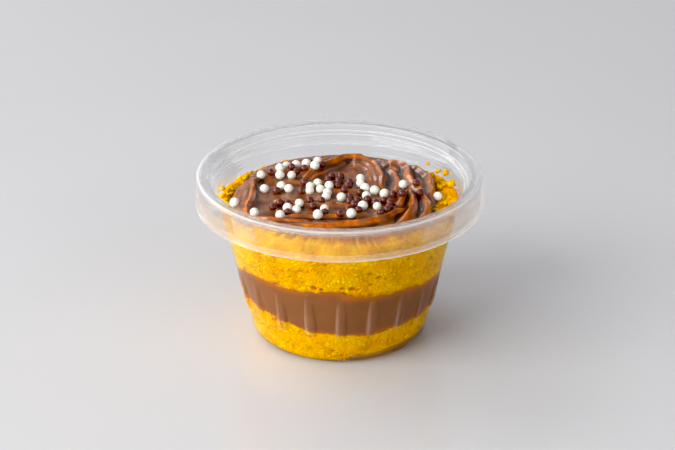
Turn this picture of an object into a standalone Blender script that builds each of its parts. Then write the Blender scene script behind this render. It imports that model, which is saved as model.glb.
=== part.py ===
"""Carrot cake in a clear plastic dessert pot.

Two layers of crumbly yellow cake with a smooth chocolate filling between them, under
swirled chocolate frosting that carries white and brown sugar pearls. The pot is thin
and clear, with short ribs round its body, a stepped rim and a skirt outside it.

Every size below is in millimetres. The origin is the middle of the pot's base, +Z is
up and the pot's front looks along -Y. Angles are in degrees, with 0 along +X and -90
at the front.
"""
import math
import random

import bmesh
import bpy
import numpy as np

MM = 0.001
GAP = 0.3

# Pot: the face towards the food, as radius and height
WALL = 0.6
FLOOR_RADIUS = 27.8
CORNER_TOP = 4.2
CORNER_STEPS = 2
CORNER_TURN = 76.0
FOOT_RADIUS = 32.1
WALL_SLOPE = 0.2375
WALL_TOP = 56.4
SEAT_FOOT = (45.6, 58.6)
SEAT_EDGE = (46.8, 59.6)
SEAT_TOP = (47.3, 61.7)
RIM_INNER = (48.0, 62.45)
RIM_CREST = (50.4, 62.7)
RIM_OUTER = (51.8, 62.5)
SKIRT_TOP = (52.5, 61.6)
SKIRT_WAIST = (52.2, 54.2)
BEAD_TOP = (52.5, 53.5)
SKIRT_FOOT = (52.5, 51.5)

# Ribs: hollow, pointed at the top and fullest near the foot
RIB_COUNT = 20
RIB_PITCH = 360.0 / RIB_COUNT
COLUMNS_PER_RIB = 4
COLUMNS = RIB_COUNT * COLUMNS_PER_RIB
CREST_COLUMN = 1
FRONT = -89.0
RIB_HEIGHTS = (12.6, 14.6, 17.8, 23.5, 29.8)
RIB_DEPTHS = (0.0, 0.75, 0.95, 0.55, 0.0)
RIB_HALF_ANGLES = (2.6, 3.2, 3.3, 2.5, 1.5)
RIB_FILL = 0.7

# Levels that change round the pot, as pairs of angle and height, radius or depth
FILLING_FOOT = ((-161, 17.8), (-143, 18.2), (-123, 17.3), (-110, 15.2), (-91, 14.1), (-72, 12.8),
                (-54, 14.0), (-29, 14.2), (60, 15.6), (130, 16.6))
FILLING_TOP = ((-175, 26.0), (-158, 30.0), (-141, 32.8), (-106, 32.3), (-91, 33.0), (-77, 30.0),
               (-50, 30.1), (-34, 28.9), (-14, 26.7), (60, 28.4), (130, 27.2))
FROSTING_RADIUS = ((-172, 40.4), (-120, 41.0), (-91, 38.9), (-69, 39.8), (-54, 39.6), (-33, 37.8),
                   (-6, 35.6), (12, 37.2), (28, 40.2), (50, 41.6), (95, 41.8), (138, 41.4), (155, 39.4))
CAKE_RISE = ((-180, 0.9), (-150, 2.8), (-128, 4.4), (-107, 4.5), (-92, 3.5), (-77, 2.3), (-55, 1.7),
             (-38, 1.1), (-15, 0.9), (5, 1.4), (26, 0.9), (45, -0.2), (95, -0.4), (135, -0.2), (155, 0.7))
CORNER_CUT = ((-180, 0.6), (-110, 0.7), (-92, 1.2), (-75, 3.4), (-45, 4.6), (-15, 4.0), (15, 1.4), (90, 0.6))

# Cake and filling
FILLING_MEAN_FOOT = 15.5
FILLING_MEAN_TOP = 29.5
FOOT_WAVES = (0.35, 11, 7, 0)
TOP_WAVES = (0.4, 9, 5, 40)
INNER_RING = 0.84
INNER_SHARE = 0.3
CAKE_LEVEL = 50.4
CAKE_MIDDLE = 49.6
CAKE_SEED = 7
CRAG_DEPTH = 0.55
LIP_ROUGHNESS = 0.25
LIP_PLACE = 0.55
CORNER_LEAN = 0.45
CORNER_CLEARANCE = 0.65
CORNER_SPREAD = 1.1
UNDER_RIBS = 0.6
# How far up its side each layer has a ring of points
LOWER_SHARES = (0.5, 1.0)
FILLING_SHARES = (0.0, 0.2, 0.5, 0.8, 1.0)
UPPER_SHARES = (0.35, 0.7)

# The seat that cake and frosting share
SEAT_MIDDLE = 0.55
SEAT_SHOULDER = -1.5
SEAT_CLEARANCE = 0.4

# Frosting
FROSTING_EDGE = 0.9
FROSTING_DOME = 2.2
FROSTING_STEP = 2.7
BLOCK_HALF = 44.0
BLOCK_DEPTH = 5.0
EDGE_SHARE = 0.06
# Each spatula stroke: crest height, falloff to its left, falloff to its right, points of its crest
STROKES = (
    (3.0, 4.2, 1.6, ((-27.5, -25.5), (-21.6, -29.1), (-9.2, -29.9), (-1.6, -29.1), (10.3, -26.1),
                     (16.2, -22.5), (22.4, -16.4), (27.2, -14.2))),
    (3.4, 4.0, 1.7, ((-14.0, 13.8), (-8.5, 20.0), (-4.8, 24.7), (1.5, 31.1), (7.2, 31.6), (11.5, 31.0))),
    (3.2, 1.5, 4.4, ((3.0, 31.4), (7.2, 31.1), (10.9, 28.7), (14.0, 23.2), (15.7, 13.8), (16.4, 3.1))),
    (2.8, 1.4, 3.8, ((15.3, 29.1), (19.8, 29.8), (25.3, 24.3), (26.5, 13.4), (29.0, 4.3), (31.7, -6.1),
                     (32.0, -14.8), (28.0, -24.8))),
    (2.2, 1.4, 3.0, ((25.4, 29.0), (30.9, 23.5), (34.2, 15.7), (34.4, 5.1), (33.0, -5.4))),
    (3.6, 2.4, 2.4, ((20.7, -11.0), (23.2, -5.1), (25.5, -0.7), (26.7, -8.1), (25.6, -17.7), (21.5, -24.5))),
    (2.6, 1.4, 5.5, ((-28.5, 17.0), (-31.2, 11.0), (-31.6, 3.0), (-32.1, -5.2), (-33.6, -13.0),
                     (-32.0, -20.0))),
    (1.8, 3.2, 1.4, ((-20.2, -18.2), (-12.3, -19.9), (-4.5, -19.9), (4.4, -19.9), (13.4, -18.5))),
    (2.2, 3.4, 2.2, ((-30.2, 14.1), (-22.9, 18.8), (-14.3, 21.8), (-6.0, 25.0))),
    (1.2, 1.5, 2.6, ((7.8, 27.0), (11.0, 19.0), (11.4, 10.0), (9.0, 3.0))),
    (1.6, 1.3, 2.6, ((18.6, 25.0), (21.4, 17.0), (21.8, 8.0), (20.4, 0.0))),
    (1.4, 2.6, 1.3, ((-24.0, -4.0), (-17.0, -8.5), (-8.0, -9.5), (3.0, -10.5), (10.0, -13.0))),
    (1.8, 3.0, 1.6, ((-35.0, -17.0), (-28.0, -20.5), (-19.0, -23.0), (-9.0, -25.0))),
    (1.1, 2.4, 1.4, ((-24.0, 8.0), (-15.0, 10.0), (-7.0, 5.0), (2.0, 2.0), (11.0, 3.0))),
)
STROKE_SAMPLES = 40
STROKE_FADE = 0.16
FADE_POWER = 0.7
FLANK_POWER = 1.2

# Pearls: diameters, how deep they sit, and clusters as x, y, radius, white count, brown count
WHITE_PEARL = 3.4
BROWN_PEARL = 2.9
PEARL_VARIATION = 0.08
PEARL_SINK = 0.2
PEARL_FOOT = 1.2
PEARL_CLEARANCE = 0.12
PEARL_SEED = 11
PEARL_TRIES = 300
CLUSTERS = (
    (-25.5, 16.5, 3.5, 1, 1), (-18.0, 20.5, 5.0, 4, 3), (-9.5, 24.0, 4.5, 3, 2), (-19.0, 4.5, 6.0, 2, 2),
    (-10.0, 4.3, 5.0, 4, 1), (-3.0, -1.5, 6.0, 4, 1), (-1.0, 10.0, 6.0, 0, 8), (10.3, -0.7, 4.5, 3, 1),
    (3.0, -4.0, 6.0, 0, 3), (9.5, -9.5, 5.5, 3, 4), (18.5, -5.0, 5.0, 1, 4), (15.0, -16.0, 5.5, 0, 3),
    (2.0, -16.5, 5.5, 1, 3), (-14.5, -12.5, 5.0, 3, 0), (-19.5, -11.5, 6.0, 0, 5), (-5.5, -18.5, 5.0, 2, 1),
    (-8.0, -7.5, 5.0, 0, 3), (7.5, 8.0, 4.0, 2, 0),
)
LONE_WHITE = ((23.5, 6.4), (36.0, 0.3), (-38.0, -7.4), (-30.5, -17.6), (-21.2, -20.3), (-27.6, 4.2),
              (-29.1, 15.4))
LONE_BROWN = ((28.2, 4.7), (29.4, -2.5))


def clear_scene():
    for old in list(bpy.data.objects):
        bpy.data.objects.remove(old, do_unlink=True)


def make_material(name, color, roughness, transmission=0.0):
    material = bpy.data.materials.new(name)
    material.use_nodes = True
    shader = material.node_tree.nodes["Principled BSDF"]
    shader.inputs["Base Color"].default_value = (*color, 1.0)
    shader.inputs["Roughness"].default_value = roughness
    shader.inputs["Metallic"].default_value = 0.0
    shader.inputs["Transmission Weight"].default_value = transmission
    return material


def make_object(name, mesh_data, material):
    """Scales a bmesh from millimetres to metres and puts it in the scene under its name."""
    bmesh.ops.scale(mesh_data, vec=(MM, MM, MM), verts=mesh_data.verts)
    bmesh.ops.recalc_face_normals(mesh_data, faces=mesh_data.faces)
    mesh = bpy.data.meshes.new(name)
    mesh_data.to_mesh(mesh)
    mesh_data.free()
    mesh.materials.append(material)
    item = bpy.data.objects.new(name, mesh)
    bpy.context.scene.collection.objects.link(item)
    return item


def around(pairs, angle):
    """Smooth value at an angle in degrees, between pairs of angle and value that close on themselves."""
    knots = sorted((a % 360.0, v) for a, v in pairs)
    angle = angle % 360.0
    for index, (start, value) in enumerate(knots):
        following = knots[(index + 1) % len(knots)]
        width = (following[0] - start) % 360.0
        along = (angle - start) % 360.0
        if along <= width:
            blend = 0.5 - 0.5 * math.cos(math.pi * along / width)
            return value + (following[1] - value) * blend
    return knots[0][1]


def cone_radius(z):
    return FOOT_RADIUS + WALL_SLOPE * (z - CORNER_TOP)


def column_angle(column, z):
    """Columns stand at a rib's left side, crest and right side and midway to the next rib."""
    rib, place = divmod(column, COLUMNS_PER_RIB)
    half = float(np.interp(z, RIB_HEIGHTS, RIB_HALF_ANGLES))
    return FRONT + rib * RIB_PITCH + (-half, 0.0, half, RIB_PITCH / 2)[place]


def column_radius(column, z, fill=1.0):
    """Radius of the pot's inner face, or of food that fills a share of the rib on a crest column."""
    if column % COLUMNS_PER_RIB != CREST_COLUMN:
        return cone_radius(z)
    return cone_radius(z) + fill * float(np.interp(z, RIB_HEIGHTS, RIB_DEPTHS))


def polar(radius, angle, z):
    return radius * math.cos(math.radians(angle)), radius * math.sin(math.radians(angle)), z


def pot_profile():
    """Radius and height along the face towards the food, over the rim and down the skirt."""
    full_turn = math.radians(CORNER_TURN)
    corner = []
    for step in range(1, CORNER_STEPS + 1):
        turn = full_turn * step / CORNER_STEPS
        across = math.sin(turn) / math.sin(full_turn)
        upward = (1 - math.cos(turn)) / (1 - math.cos(full_turn))
        corner.append((FLOOR_RADIUS + (FOOT_RADIUS - FLOOR_RADIUS) * across,
                       WALL + (CORNER_TOP - WALL) * upward))
    ribs = [(cone_radius(z), z) for z in RIB_HEIGHTS]
    rim = [(cone_radius(WALL_TOP), WALL_TOP), SEAT_FOOT, SEAT_EDGE, SEAT_TOP,
           RIM_INNER, RIM_CREST, RIM_OUTER, SKIRT_TOP, SKIRT_WAIST, BEAD_TOP, SKIRT_FOOT]
    return [(FLOOR_RADIUS, WALL)] + corner + ribs + rim


def press_ribs(pot):
    """Moves the body's columns to the ribs' sides and crests, and numbers every vertex by its column."""
    pitch = 360.0 / COLUMNS
    for vert in pot.verts:
        x, y, z = vert.co
        radius = math.hypot(x, y)
        column = round(math.degrees(math.atan2(y, x)) / pitch) % COLUMNS
        if CORNER_TOP < z < WALL_TOP - GAP and radius < SEAT_FOOT[0]:
            vert.co = polar(column_radius(column, z), column_angle(column, z), z)
        else:
            vert.co = polar(radius, FRONT + (column - CREST_COLUMN) * pitch, z)
        vert.index = column


def build_pot(material):
    """Spins the profile, presses the ribs outward and thins the rim's columns; Solidify adds the wall."""
    pot = bmesh.new()
    line = [pot.verts.new((radius, 0.0, z)) for radius, z in pot_profile()]
    edges = [pot.edges.new(pair) for pair in zip(line, line[1:])]
    bmesh.ops.spin(pot, geom=line + edges, cent=(0, 0, 0), axis=(0, 0, 1), angle=math.tau,
                   steps=COLUMNS, use_merge=True)
    press_ribs(pot)
    thinned = [edge for edge in pot.edges
               if all(vert.index % 2 == 0 for vert in edge.verts)
               and edge.verts[0].index == edge.verts[1].index
               and min(vert.co.z for vert in edge.verts) > WALL_TOP - GAP]
    bmesh.ops.dissolve_edges(pot, edges=thinned, use_verts=True)
    floor_ring = [edge for edge in pot.edges if edge.is_boundary and edge.verts[0].co.z < CORNER_TOP]
    floor = bmesh.ops.edgeloop_fill(pot, edges=floor_ring)["faces"]
    bmesh.ops.poke(pot, faces=floor)
    item = make_object("cup", pot, material)
    face_the_food(item.data)
    wall = item.modifiers.new("Wall", "SOLIDIFY")
    wall.thickness = WALL * MM
    wall.offset = -1.0
    wall.use_even_offset = True
    wall.use_rim = True
    shade_round(item)
    return item


def face_the_food(mesh):
    """Turns the open sheet so that its floor looks up, because Solidify adds the wall behind the faces."""
    sheet = bmesh.new()
    sheet.from_mesh(mesh)
    floor = min(sheet.faces, key=lambda face: face.calc_center_median().z)
    if floor.normal.z < 0:
        bmesh.ops.reverse_faces(sheet, faces=sheet.faces)
    sheet.to_mesh(mesh)
    sheet.free()


def shade_round(item, sharp_degrees=40.0):
    item.data.shade_smooth()
    item.data.set_sharp_from_angle(angle=math.radians(sharp_degrees))


def ring_solid(name, rings, material):
    """A closed solid through rings of points, from the ring round its bottom to the ring round its top."""
    solid = bmesh.new()
    bmesh.ops.create_circle(solid, cap_ends=True, segments=len(rings[0]), radius=1.0)
    solid.verts.ensure_lookup_table()
    verts = list(solid.verts)
    bottom = list(solid.faces)
    for vert, point in zip(verts, rings[0]):
        vert.co = point
    for ring in rings[1:]:
        edges = [solid.edges.get((a, b)) for a, b in zip(verts, verts[1:] + verts[:1])]
        made = bmesh.ops.extrude_edge_only(solid, edges=edges)["geom"]
        fresh = {element for element in made if isinstance(element, bmesh.types.BMVert)}
        verts = [next(edge.other_vert(vert) for edge in vert.link_edges if edge.other_vert(vert) in fresh)
                 for vert in verts]
        for vert, point in zip(verts, ring):
            vert.co = point
    top = solid.faces.new(verts)
    bmesh.ops.poke(solid, faces=bottom + [top])
    bmesh.ops.triangulate(solid, faces=solid.faces, quad_method="SHORT_EDGE")
    item = make_object(name, solid, material)
    shade_round(item)
    return item


def wall_ring(level, inset=GAP, crags=None):
    """Points on the pot's inner face, a gap inside it, at a level given for each column."""
    ring = []
    for column in range(COLUMNS):
        z = level(column)
        crag = crags.random() * CRAG_DEPTH if crags else 0.0
        ring.append(polar(column_radius(column, z, RIB_FILL) - inset - crag, column_angle(column, z), z))
    return ring


def inner_ring(level, mean):
    """A ring a little inside the wall, where a layer's face has settled to its mean height."""
    ring = []
    for column in range(COLUMNS):
        edge = level(column)
        angle = column_angle(column, edge)
        ring.append(polar(INNER_RING * cone_radius(mean), angle, mean + INNER_SHARE * (edge - mean)))
    return ring


def waves(angle, height, fast, slow, phase):
    """Small unevenness round the pot."""
    return height * math.sin(math.radians(angle * fast + phase)) * math.cos(math.radians(angle * slow))


def filling_foot(column):
    angle = column_angle(column, FILLING_MEAN_FOOT)
    return around(FILLING_FOOT, angle) + waves(angle, *FOOT_WAVES)


def filling_top(column):
    angle = column_angle(column, FILLING_MEAN_TOP)
    return around(FILLING_TOP, angle) + waves(angle, *TOP_WAVES)


def between(low, high, share):
    """The level a share of the way from one level to another, as a function of the column."""
    return lambda column: low(column) + share * (high(column) - low(column))


def raised(level, amount):
    return lambda column: level(column) + amount


def build_lower_cake(material):
    """The lower cake: its bottom edge is rounded off, most at the front right, where it clears the corner."""
    crags = random.Random(CAKE_SEED)
    floor = WALL + GAP

    def corner_height(column):
        return floor + around(CORNER_CUT, column_angle(column, floor))

    def below_ribs(column):
        return min(RIB_HEIGHTS[0] - GAP, top(column) - UNDER_RIBS)

    floor_ring = []
    corner_ring = []
    for column in range(COLUMNS):
        angle = column_angle(column, floor)
        cut = UNDER_RIBS + CORNER_SPREAD * around(CORNER_CUT, angle)
        floor_ring.append(polar(FLOOR_RADIUS - cut, angle, floor))
        z = corner_height(column)
        lean = max(0.0, CORNER_TOP - z) * CORNER_LEAN
        corner_ring.append(polar(cone_radius(z) - CORNER_CLEARANCE - lean, column_angle(column, z), z))

    top = raised(filling_foot, -GAP / 2)
    rings = [floor_ring, corner_ring]
    for share in LOWER_SHARES:
        rings.append(wall_ring(between(corner_height, below_ribs, share), crags=crags))
    rings += [wall_ring(top), inner_ring(top, FILLING_MEAN_FOOT - GAP / 2)]
    return ring_solid("cake_lower", rings, material)


def build_filling(material):
    """The smooth filling, pressed into the ribs' hollows."""
    low = raised(filling_foot, GAP / 2)
    high = raised(filling_top, -GAP / 2)
    rings = [inner_ring(low, FILLING_MEAN_FOOT + GAP / 2)]
    rings += [wall_ring(between(low, high, share)) for share in FILLING_SHARES]
    rings.append(inner_ring(high, FILLING_MEAN_TOP - GAP / 2))
    return ring_solid("filling", rings, material)


def border_ring(z, share=1.0, beyond=0.0):
    """A ring at a share of the frosting's radius, or a distance beyond it."""
    ring = []
    for column in range(COLUMNS):
        angle = column_angle(column, CAKE_LEVEL)
        ring.append(polar(share * around(FROSTING_RADIUS, angle) + beyond, angle, z))
    return ring


def cake_seat(lift):
    """Rings of the face that cake and frosting share, from the middle out to the frosting's border."""
    middle = border_ring(CAKE_MIDDLE + lift, share=SEAT_MIDDLE)
    shoulder = border_ring(CAKE_LEVEL + lift, beyond=SEAT_SHOULDER)
    return middle, shoulder


def build_upper_cake(material):
    """The upper cake: crumbly at its side, with a rim of crumb that stands round the frosting."""
    crags = random.Random(CAKE_SEED + 1)
    low = raised(filling_top, GAP / 2)

    def high(column):
        return CAKE_LEVEL + around(CAKE_RISE, column_angle(column, CAKE_LEVEL))

    rings = [inner_ring(low, FILLING_MEAN_TOP + GAP / 2), wall_ring(low)]
    for share in UPPER_SHARES:
        rings.append(wall_ring(between(low, high, share), crags=crags))
    rings.append(wall_ring(high, inset=SEAT_CLEARANCE))
    lip = []
    for column in range(COLUMNS):
        angle = column_angle(column, CAKE_LEVEL)
        border = around(FROSTING_RADIUS, angle)
        wall = cone_radius(high(column)) - GAP
        rough = LIP_ROUGHNESS * crags.uniform(-1.0, 1.0)
        lip.append(polar(border + LIP_PLACE * (wall - border), angle, high(column) + rough))
    middle, shoulder = cake_seat(0.0)
    rings += [lip, border_ring(CAKE_LEVEL, beyond=SEAT_CLEARANCE), shoulder, middle]
    return ring_solid("cake_upper", rings, material)


def smooth_curve(points, samples):
    """Points along a Catmull-Rom curve through the given ones."""
    points = np.array(points, float)
    padded = np.vstack([2 * points[0] - points[1], points, 2 * points[-1] - points[-2]])
    spots = np.linspace(0, len(points) - 1, samples)
    span = np.minimum(spots.astype(int), len(points) - 2)
    t = (spots - span)[:, None]
    a, b, c, d = (padded[span + offset] for offset in range(4))
    bend = (2 * a - 5 * b + 4 * c - d) * t ** 2 + (3 * b - a - 3 * c + d) * t ** 3
    return 0.5 * (2 * b + (c - a) * t + bend)


def stroke_height(places, height, left_width, right_width, crest):
    """Height that one spatula stroke adds: a sharp crest with hollow flanks, fading at both ends."""
    curve = smooth_curve(crest, STROKE_SAMPLES)
    start, run = curve[:-1], np.diff(curve, axis=0)
    offset = places[:, None, :] - start[None]
    share = np.clip((offset * run).sum(2) / (run ** 2).sum(1), 0.0, 1.0)
    away = offset - share[..., None] * run
    distance = np.hypot(away[..., 0], away[..., 1])
    nearest = distance.argmin(1)
    rows = np.arange(len(places))
    side = run[nearest, 0] * away[rows, nearest, 1] - run[nearest, 1] * away[rows, nearest, 0]
    along = (nearest + share[rows, nearest]) / (STROKE_SAMPLES - 1)
    fade = np.clip(np.minimum(along, 1 - along) / STROKE_FADE, 0.0, 1.0)
    width = np.where(side > 0, left_width, right_width)
    return height * fade ** FADE_POWER * np.exp(-(distance[rows, nearest] / width) ** FLANK_POWER)


def frosting_height(places):
    """Height of the frosting's top over an array of x and y."""
    angle = np.degrees(np.arctan2(places[:, 1], places[:, 0]))
    border = np.array([around(FROSTING_RADIUS, value) for value in angle])
    share = np.clip(np.hypot(places[:, 0], places[:, 1]) / border, 0.0, 1.0)
    strokes = np.max([stroke_height(places, *stroke) for stroke in STROKES], axis=0)
    edge = np.clip((1 - share) / EDGE_SHARE, 0.0, 1.0)
    return CAKE_LEVEL + FROSTING_EDGE + FROSTING_DOME * np.sqrt(1 - share ** 2) + strokes * edge


def pearl_places():
    """Seeded places of the pearls, cluster by cluster, none touching another: x, y, radius and kind."""
    draw = random.Random(PEARL_SEED)
    placed = []

    def put(x, y, diameter):
        radius = diameter / 2 * draw.uniform(1 - PEARL_VARIATION, 1 + PEARL_VARIATION)
        if all(math.hypot(x - px, y - py) > radius + pr + PEARL_CLEARANCE for px, py, pr, kind in placed):
            placed.append((x, y, radius, diameter))
            return True
        return False

    for x, y in LONE_WHITE:
        put(x, y, WHITE_PEARL)
    for x, y in LONE_BROWN:
        put(x, y, BROWN_PEARL)
    for middle_x, middle_y, spread, whites, browns in CLUSTERS:
        kinds = [WHITE_PEARL] * whites + [BROWN_PEARL] * browns
        draw.shuffle(kinds)
        for diameter in kinds:
            for _ in range(PEARL_TRIES):
                away = spread * draw.random()
                turn = math.tau * draw.random()
                if put(middle_x + away * math.cos(turn), middle_y + away * math.sin(turn), diameter):
                    break
    return placed


def pearl_rests(placed):
    """Height that each pearl rests at: the mean of the frosting's at five points under it."""
    offsets = PEARL_FOOT * np.array([(0, 0), (1, 0), (-1, 0), (0, 1), (0, -1)])
    middles = np.array([place[:2] for place in placed])
    return np.mean([frosting_height(middles + offset) for offset in offsets], axis=0)


def apply_boolean(item, operation, target=None, collection=None):
    """Joins or cuts an object with another object or a collection, and keeps only the result."""
    modifier = item.modifiers.new("Join", "BOOLEAN")
    modifier.operation = operation
    modifier.solver = "EXACT"
    if collection:
        modifier.operand_type = "COLLECTION"
        modifier.collection = collection
    else:
        modifier.object = target
    depsgraph = bpy.context.evaluated_depsgraph_get()
    mesh = bpy.data.meshes.new_from_object(item.evaluated_get(depsgraph))
    item.modifiers.remove(modifier)
    item.data = mesh


def make_pearls(material):
    """The pearls as a collection of few-sided balls, sunk a little into the frosting."""
    pearls = bpy.data.collections.new("pearls")
    bpy.context.scene.collection.children.link(pearls)
    placed = pearl_places()
    rests = pearl_rests(placed)
    for index, ((x, y, radius, kind), rest) in enumerate(zip(placed, rests)):
        pearl = bmesh.new()
        if kind == WHITE_PEARL:
            bmesh.ops.create_uvsphere(pearl, u_segments=5, v_segments=4, radius=radius)
        else:
            bmesh.ops.create_icosphere(pearl, subdivisions=1, radius=radius)
        bmesh.ops.translate(pearl, vec=(x, y, rest + radius * (1 - 2 * PEARL_SINK)), verts=pearl.verts)
        item = make_object(f"pearl_{index}", pearl, material)
        bpy.context.scene.collection.objects.unlink(item)
        pearls.objects.link(item)
    return pearls


def build_frosting(material):
    """Frosting: a block with a sculpted top, cut to its border and seat, with the pearls fused on."""
    block = bmesh.new()
    count = int(2 * BLOCK_HALF / FROSTING_STEP)
    bmesh.ops.create_grid(block, x_segments=count, y_segments=count, size=BLOCK_HALF)
    tops = list(block.verts)
    heights = frosting_height(np.array([vert.co.xy for vert in tops]))
    made = bmesh.ops.extrude_face_region(block, geom=list(block.faces), use_keep_orig=True)["geom"]
    for vert, height in zip(tops, heights):
        vert.co.z = height
    for vert in (element for element in made if isinstance(element, bmesh.types.BMVert)):
        vert.co.z = CAKE_MIDDLE - BLOCK_DEPTH
    frosting = make_object("frosting", block, material)
    rings = [*cake_seat(GAP), border_ring(CAKE_LEVEL + GAP), border_ring(RIM_CREST[1])]
    mould = ring_solid("mould", [ring[::2] for ring in rings], material)
    apply_boolean(frosting, "INTERSECT", target=mould)
    bpy.data.objects.remove(mould, do_unlink=True)
    pearls = make_pearls(material)
    apply_boolean(frosting, "UNION", collection=pearls)
    for item in list(pearls.objects):
        bpy.data.objects.remove(item, do_unlink=True)
    bpy.data.collections.remove(pearls)
    shade_round(frosting)
    return frosting


def main():
    clear_scene()
    clear_plastic = make_material("clear_plastic", (0.95, 0.97, 0.98), 0.05, transmission=1.0)
    sponge = make_material("sponge", (0.93, 0.55, 0.02), 0.85)
    chocolate = make_material("chocolate_filling", (0.24, 0.10, 0.045), 0.35)
    ganache = make_material("chocolate_frosting", (0.27, 0.10, 0.04), 0.3)
    build_pot(clear_plastic)
    build_lower_cake(sponge)
    build_filling(chocolate)
    build_upper_cake(sponge)
    build_frosting(ganache)


main()
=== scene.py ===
"""Looks of the carrot cake in its clear dessert pot.

Each solid of the part is dressed by a finer piece of the same form: the ribbed pot as a thin
clear shell, crumbly sponge that is pressed against it, a smooth chocolate filling, swirled
frosting, loose crumbs, and the white and brown sugar pearls.

Sizes are in millimetres until a piece is finished, and angles in degrees, with 0 along +X and
-90 at the pot's front.
"""
import math
import random

import bmesh
import bpy
import numpy as np
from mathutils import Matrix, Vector, noise


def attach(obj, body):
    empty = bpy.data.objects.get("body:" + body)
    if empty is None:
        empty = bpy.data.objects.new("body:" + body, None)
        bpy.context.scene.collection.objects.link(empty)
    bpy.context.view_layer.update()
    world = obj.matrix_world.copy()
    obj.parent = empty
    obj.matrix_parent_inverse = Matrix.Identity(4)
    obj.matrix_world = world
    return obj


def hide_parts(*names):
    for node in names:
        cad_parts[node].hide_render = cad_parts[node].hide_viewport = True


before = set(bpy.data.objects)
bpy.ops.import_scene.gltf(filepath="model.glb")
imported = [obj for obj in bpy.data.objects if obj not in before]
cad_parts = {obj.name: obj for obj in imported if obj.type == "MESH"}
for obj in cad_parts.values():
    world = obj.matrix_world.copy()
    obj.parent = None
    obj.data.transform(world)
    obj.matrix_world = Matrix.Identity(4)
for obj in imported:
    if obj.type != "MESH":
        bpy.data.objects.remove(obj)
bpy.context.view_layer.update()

MM = 0.001
# Seed of Blender's vector noise, which would otherwise start from the clock
NOISE_SEED = 5

# Pot: the face towards the food, as radius and height
WALL = 0.6
FLOOR_RADIUS = 27.8
CORNER_TOP = 4.2
CORNER_STEPS = 8
CORNER_TURN = 76.0
FOOT_RADIUS = 32.1
WALL_SLOPE = 0.2375
WALL_TOP = 56.4
SEAT_FOOT = (45.6, 58.6)
SEAT_EDGE = (46.8, 59.6)
SEAT_TOP = (47.3, 61.7)
RIM_INNER = (48.0, 62.4)
RIM_DIP = (49.7, 62.3)
RIM_CREST = (50.4, 62.7)
RIM_OUTER = (51.6, 62.35)
SKIRT_TOP = (52.5, 61.6)
SKIRT_WAIST = (52.2, 54.2)
BEAD_TOP = (52.5, 53.5)
SKIRT_FOOT = (52.5, 51.5)
ROUNDING = 0.45
ROUNDING_STEPS = 4
# Edges of the plastic with a highlight painted along them in white: the ring, how far the painted highlight
# reaches, and its strength
PAINTED_HIGHLIGHT_RINGS = (
    (RIM_CREST, 0.4, 0.2), (RIM_OUTER, 0.6, 0.55), (SEAT_TOP, 0.35, 0.3), (SEAT_EDGE, 0.3, 0.5),
    (SEAT_FOOT, 0.3, 0.45), (SKIRT_TOP, 0.3, 0.2), (BEAD_TOP, 0.35, 0.28), (SKIRT_FOOT, 0.35, 0.35),
)
# Faint haze on the skirt and over each rib, and the strength of the painted highlight on a rib's left side
SKIRT_MILK = 0.05
RIB_MILK = 0.02
RIB_PAINTED_HIGHLIGHT = 0.17
# Middle and width of the painted highlight on a rib's left side, the side the light comes from, in halves of
# the rib
RIB_GLEAM = (-0.72, 0.22)
# Amber painted into the plastic of the pot's foot, standing in for the yellow light that the cake throws
# into the corner: its top, and how far in from the corner it starts
FOOT_GLOW_TOP = 5.0
FOOT_GLOW_INSET = 2.0
SHARP_ANGLE = 50.0
# Greatest share of a straight stretch that the curve at its corner takes up
ROUNDING_SHARE = 0.45
# Fine rings pressed into the wall: their heights, half their width and their depth
WALL_RINGS = (52.9, 54.3, 55.7)
WALL_RING_HALF = 0.3
WALL_RING_DEPTH = 0.12

# Ribs: hollow, pointed at the top and fullest near the foot
RIB_COUNT = 20
RIB_PITCH = 360.0 / RIB_COUNT
# Angle of the rib at the front
FRONT = -89.0
RIB_FOOT = 12.6
RIB_POINT = 29.8
RIB_DEPTH = 0.95
RIB_FULLEST = 0.28
RIB_HALF_ANGLES = (1.5, 3.3)
RIB_TAPER = 0.9
RIB_WIDENING = 0.6
RIB_ROUNDNESS = 0.6
# The pot's mesh: rings over the ribs, and columns that crowd over each rib and even out above it
RIB_RING = 0.6
ACROSS_RIB = 14
BETWEEN_RIBS = 10
RIB_MARGIN = 1.2
EVEN_ABOVE = 34.0
EVEN_RISE = 8.0
POT_COLUMNS = RIB_COUNT * (ACROSS_RIB + BETWEEN_RIBS)

# Levels that change round the pot, as pairs of angle and height, radius or depth
FILLING_FOOT = ((-161, 17.8), (-143, 18.2), (-123, 17.3), (-110, 15.2), (-91, 14.1), (-72, 12.8),
                (-54, 14.0), (-29, 14.2), (60, 15.6), (130, 16.6))
FILLING_TOP = ((-175, 26.0), (-158, 30.0), (-141, 32.8), (-106, 32.3), (-91, 33.0), (-77, 30.0),
               (-50, 30.1), (-34, 28.9), (-14, 26.7), (60, 28.4), (130, 27.2))
FROSTING_RADIUS = ((-172, 40.4), (-120, 41.0), (-91, 38.9), (-69, 39.8), (-54, 39.6), (-33, 37.8),
                   (-6, 35.6), (12, 37.2), (28, 40.2), (50, 41.6), (95, 41.8), (138, 41.4), (155, 39.4))
CAKE_RISE = ((-180, 0.9), (-150, 2.8), (-128, 4.4), (-107, 4.5), (-92, 3.5), (-77, 2.3), (-55, 1.7),
             (-38, 1.1), (-15, 0.9), (5, 1.4), (26, 0.9), (45, -0.2), (95, -0.4), (135, -0.2), (155, 0.7))
CORNER_CUT = ((-180, 0.6), (-110, 0.7), (-92, 1.2), (-75, 3.4), (-45, 4.6), (-15, 4.0), (15, 1.4),
              (90, 0.6))
# Where the frosting's border is thin and gets a painted glow of light through it
BORDER_GLOW_FROM = 0.84
BORDER_GLOW = ((-150, 0.0), (-125, 0.8), (-100, 0.9), (-70, 0.7), (-45, 0.3), (-25, 0.0))

# Cake and filling
FILLING_MEAN_FOOT = 15.5
FILLING_MEAN_TOP = 29.5
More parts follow.
